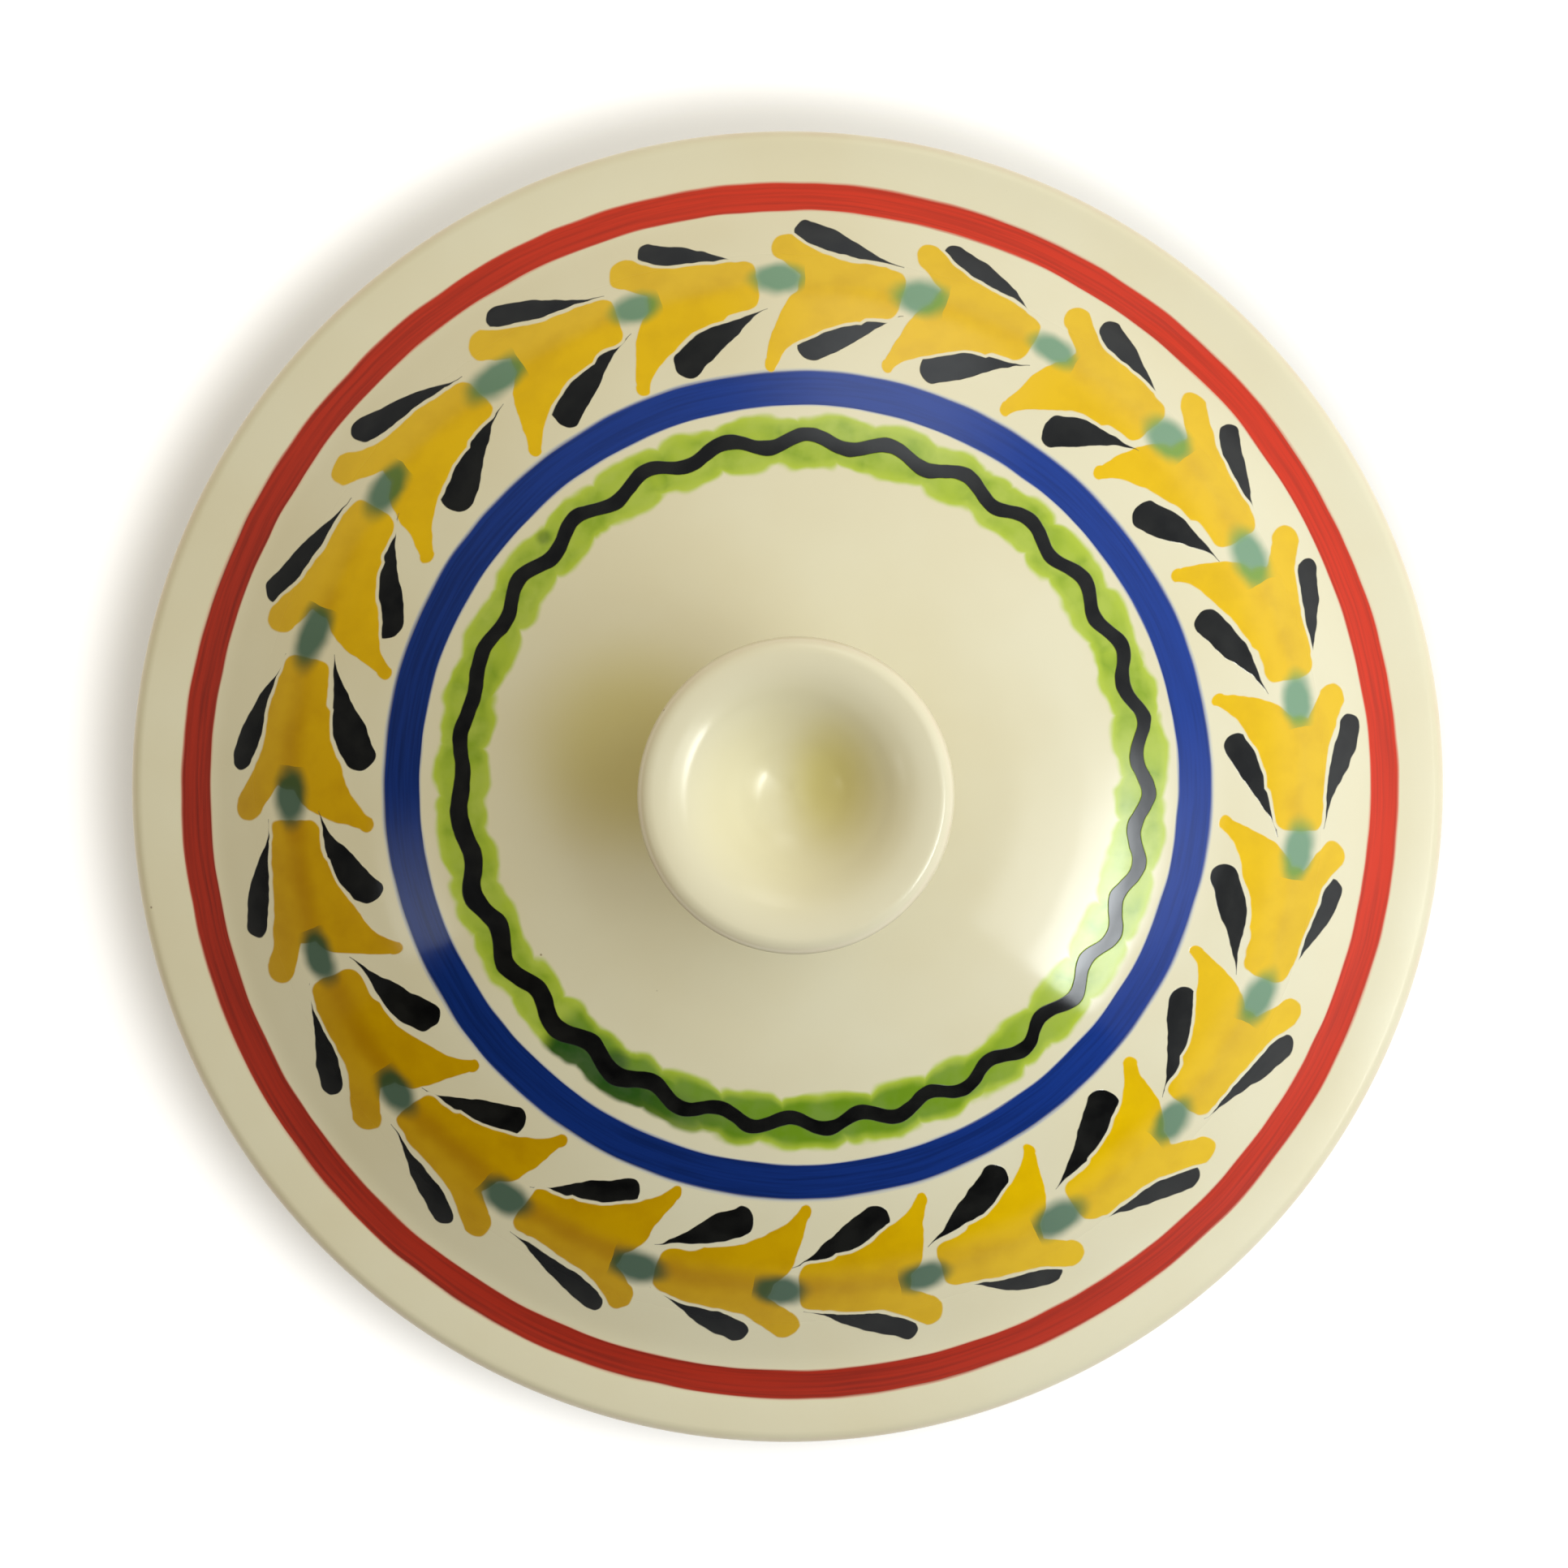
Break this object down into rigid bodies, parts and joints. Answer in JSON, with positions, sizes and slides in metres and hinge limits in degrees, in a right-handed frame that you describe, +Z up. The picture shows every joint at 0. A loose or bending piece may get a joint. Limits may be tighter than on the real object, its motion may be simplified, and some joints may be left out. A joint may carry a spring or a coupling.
{
  "type": "tortilla warmer",
  "caption": "Round glazed pottery dish on a foot ring, with a domed lift-off lid that has a flat brim, a locating ring and a dished cup knob.",
  "frame": {"origin": "centre of the foot ring's standing face, on the table", "axes": "+Z up, along the axis that every piece is turned about"},
  "size_m": [0.25, 0.25, 0.122],
  "materials": {
    "cream_glaze": "glossy cream glaze",
    "bare_clay": "fired clay, turned and left bare",
    "painted_glaze": "glossy cream glaze, painted by hand under the gloss",
    "ring_glaze": "glossy cream glaze, wiped off the lower edge",
    "knob_glaze": "glossy cream glaze, thinner on the lip"
  },
  "bodies": {
    "dish": {"dish_bowl": "cream_glaze", "dish_foot_ring": "bare_clay"},
    "lid": {"lid_shell": "painted_glaze", "lid_locating_ring": "ring_glaze", "lid_knob": "knob_glaze"}
  },
  "joints": [
    {"name": "lid_lift", "type": "slide", "parent": "dish", "child": "lid", "axis": [0, 0, 1], "range_m": [0, 0.16]}
  ]
}
